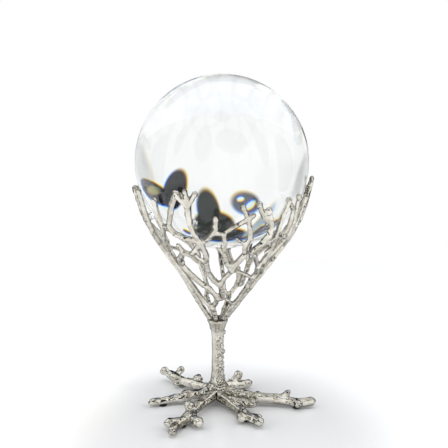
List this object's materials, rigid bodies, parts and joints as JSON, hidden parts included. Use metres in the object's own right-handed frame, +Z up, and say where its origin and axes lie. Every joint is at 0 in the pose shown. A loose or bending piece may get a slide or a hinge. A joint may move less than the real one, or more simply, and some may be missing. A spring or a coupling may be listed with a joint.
{
  "type": "crystal ball",
  "caption": "Clear crystal ball resting in an openwork cast coral cup on a bark-textured stem with spreading roots.",
  "frame": {"origin": "centre of the object's box in plan, on the surface it stands on", "axes": "+Z up, +X to the right seen from the front, -Y towards the front"},
  "size_m": [0.1092, 0.1036, 0.1972],
  "materials": {
    "crystal": "clear polished crystal",
    "coral_metal": "warm nickel-plated casting, cast texture",
    "fastener_steel": "plain zinc-plated steel",
    "clear_silicone": "clear silicone"
  },
  "bodies": {
    "stand": {"cup_front": "coral_metal", "cup_front_right": "coral_metal", "cup_right": "coral_metal", "cup_left": "coral_metal", "cup_back_right": "coral_metal", "cup_back_left": "coral_metal", "bumper_front": "clear_silicone", "bumper_front_right": "clear_silicone", "bumper_right": "clear_silicone", "bumper_left": "clear_silicone", "bumper_back_right": "clear_silicone", "bumper_back_left": "clear_silicone", "stem": "coral_metal", "root_hub": "coral_metal", "base_washer": "fastener_steel", "base_screw": "fastener_steel", "root_left": "coral_metal", "root_back_left": "coral_metal", "root_front_left": "coral_metal", "root_front_right": "coral_metal", "root_right": "coral_metal", "root_back_right": "coral_metal", "pad_left": "clear_silicone", "pad_back_left": "clear_silicone", "pad_front_left": "clear_silicone", "pad_front_right": "clear_silicone", "pad_right": "clear_silicone", "pad_back_right": "clear_silicone"},
    "ball": {"crystal_ball": "crystal"}
  },
  "joints": [
    {"name": "ball_lift", "type": "slide", "parent": "stand", "child": "ball", "axis": [0, 0, 1], "range_m": [0, 0.07]}
  ]
}
